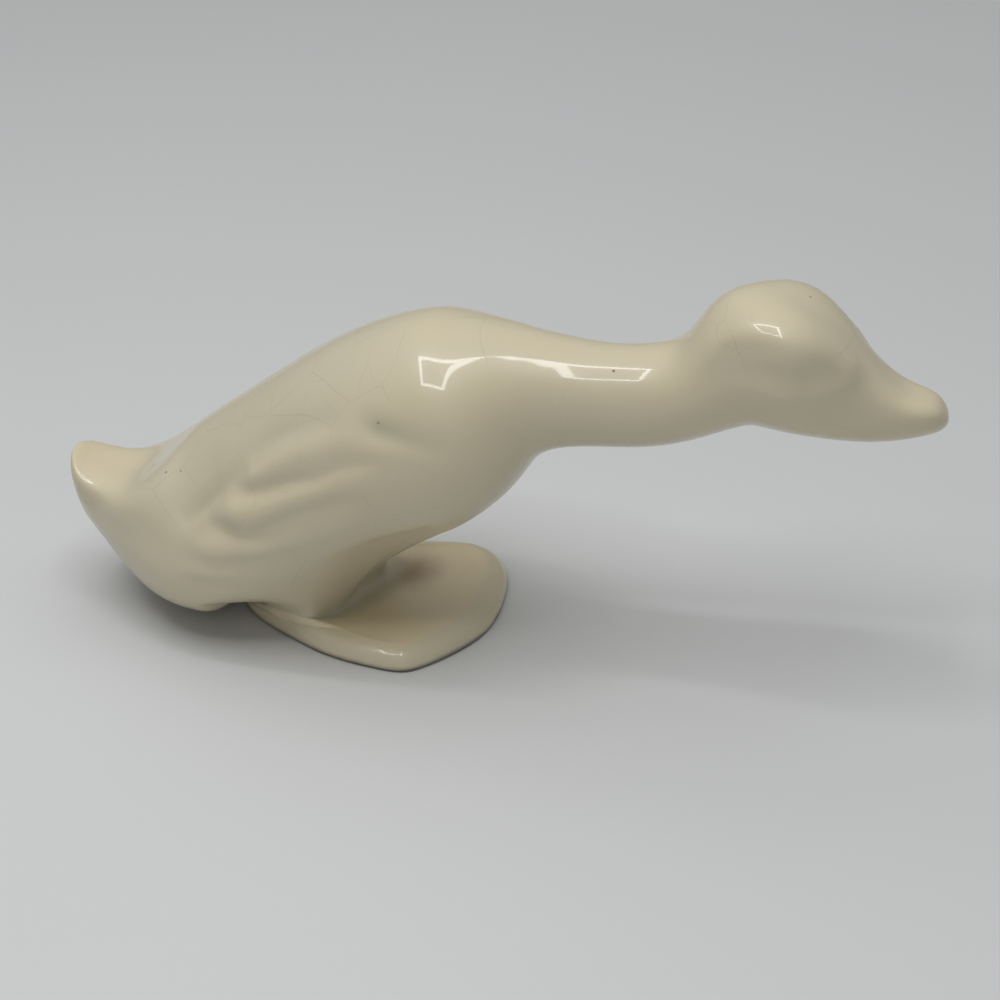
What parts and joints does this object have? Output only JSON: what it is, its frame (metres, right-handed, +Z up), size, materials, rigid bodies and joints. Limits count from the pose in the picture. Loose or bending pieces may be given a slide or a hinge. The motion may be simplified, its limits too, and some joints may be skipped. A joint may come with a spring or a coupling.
{
  "type": "ceramic bird figurine",
  "caption": "Hollow cast earthenware duck with a long outstretched neck, standing on a dished webbed foot pad, cream crackle glaze.",
  "frame": {"origin": "on the table, under the middle of the duck's length and width", "axes": "+X from the tail to the bill, +Y to the duck's left, +Z up"},
  "size_m": [0.1588, 0.046, 0.0723],
  "materials": {
    "cream_glaze": "glossy cream crackle glaze over pale earthenware, bare clay on the sole"
  },
  "bodies": {
    "root": {"duck_casting": "cream_glaze"}
  },
  "joints": []
}
